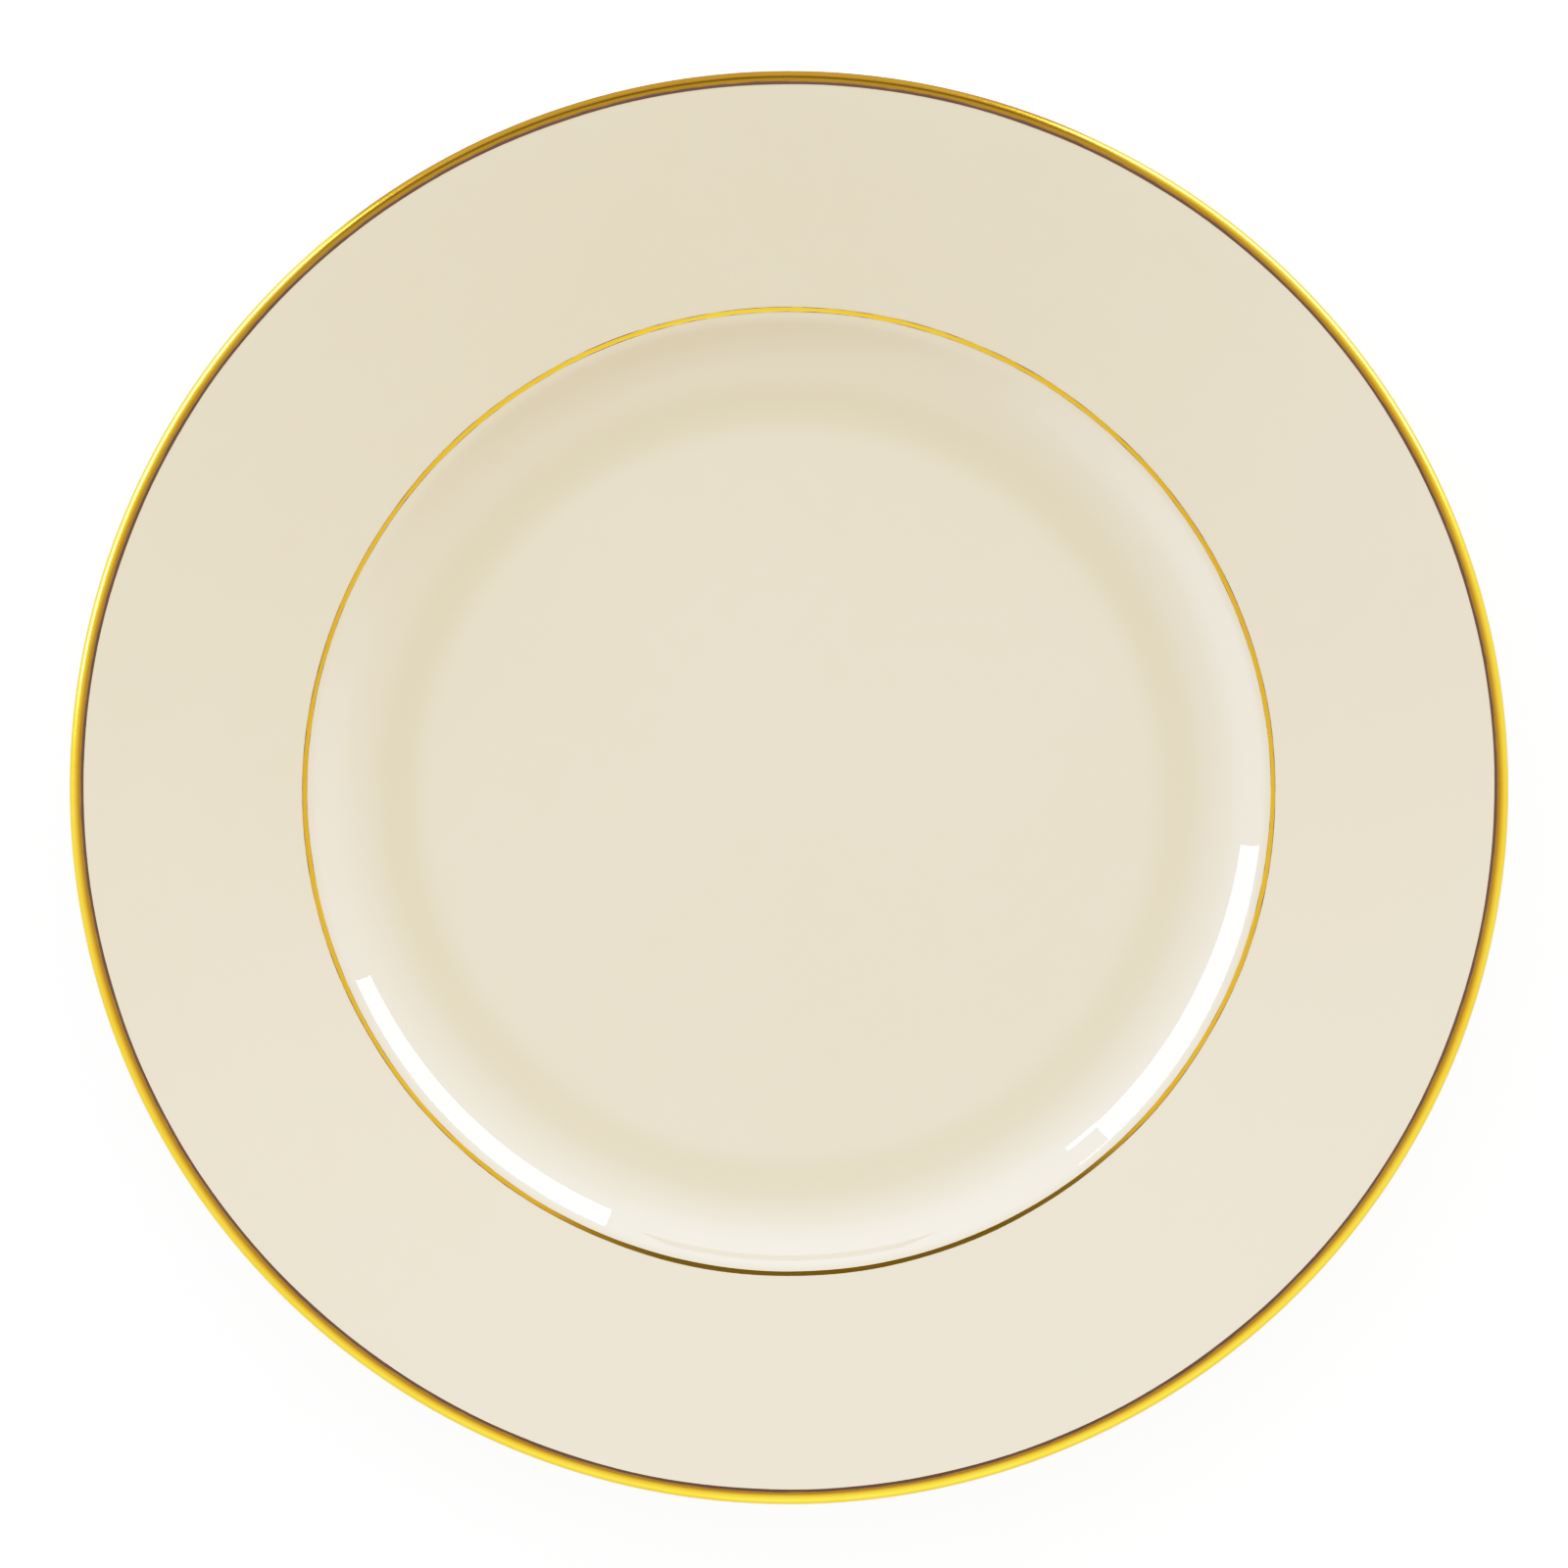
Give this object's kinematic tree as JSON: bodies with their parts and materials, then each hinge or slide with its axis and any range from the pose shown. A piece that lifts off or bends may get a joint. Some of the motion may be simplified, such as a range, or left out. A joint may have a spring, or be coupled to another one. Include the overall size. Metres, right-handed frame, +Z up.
{
  "type": "dinner plate",
  "caption": "Round cream china dinner plate with a shallow well, a wide sloping rim, a gilded lip and a thin gold line round the well's shoulder.",
  "frame": {"origin": "centre of the foot ring's sole, in the plane of the table the plate stands on", "axes": "+Z up along the plate's axis of rotation, out of the well; +X and +Y across the plate, with -Y towards the diner"},
  "size_m": [0.273, 0.273, 0.029],
  "materials": {
    "bare_porcelain": "fired, unglazed, matt",
    "cream_glaze": "glossy transparent glaze over cream porcelain",
    "bright_gold": "bright fired gold, brush painted"
  },
  "bodies": {
    "root": {"porcelain_body": "bare_porcelain", "glaze_coat": "cream_glaze", "base_glaze": "cream_glaze", "lip_gold_band": "bright_gold", "shoulder_gold_line": "bright_gold", "base_mark_ring": "bright_gold"}
  },
  "joints": []
}
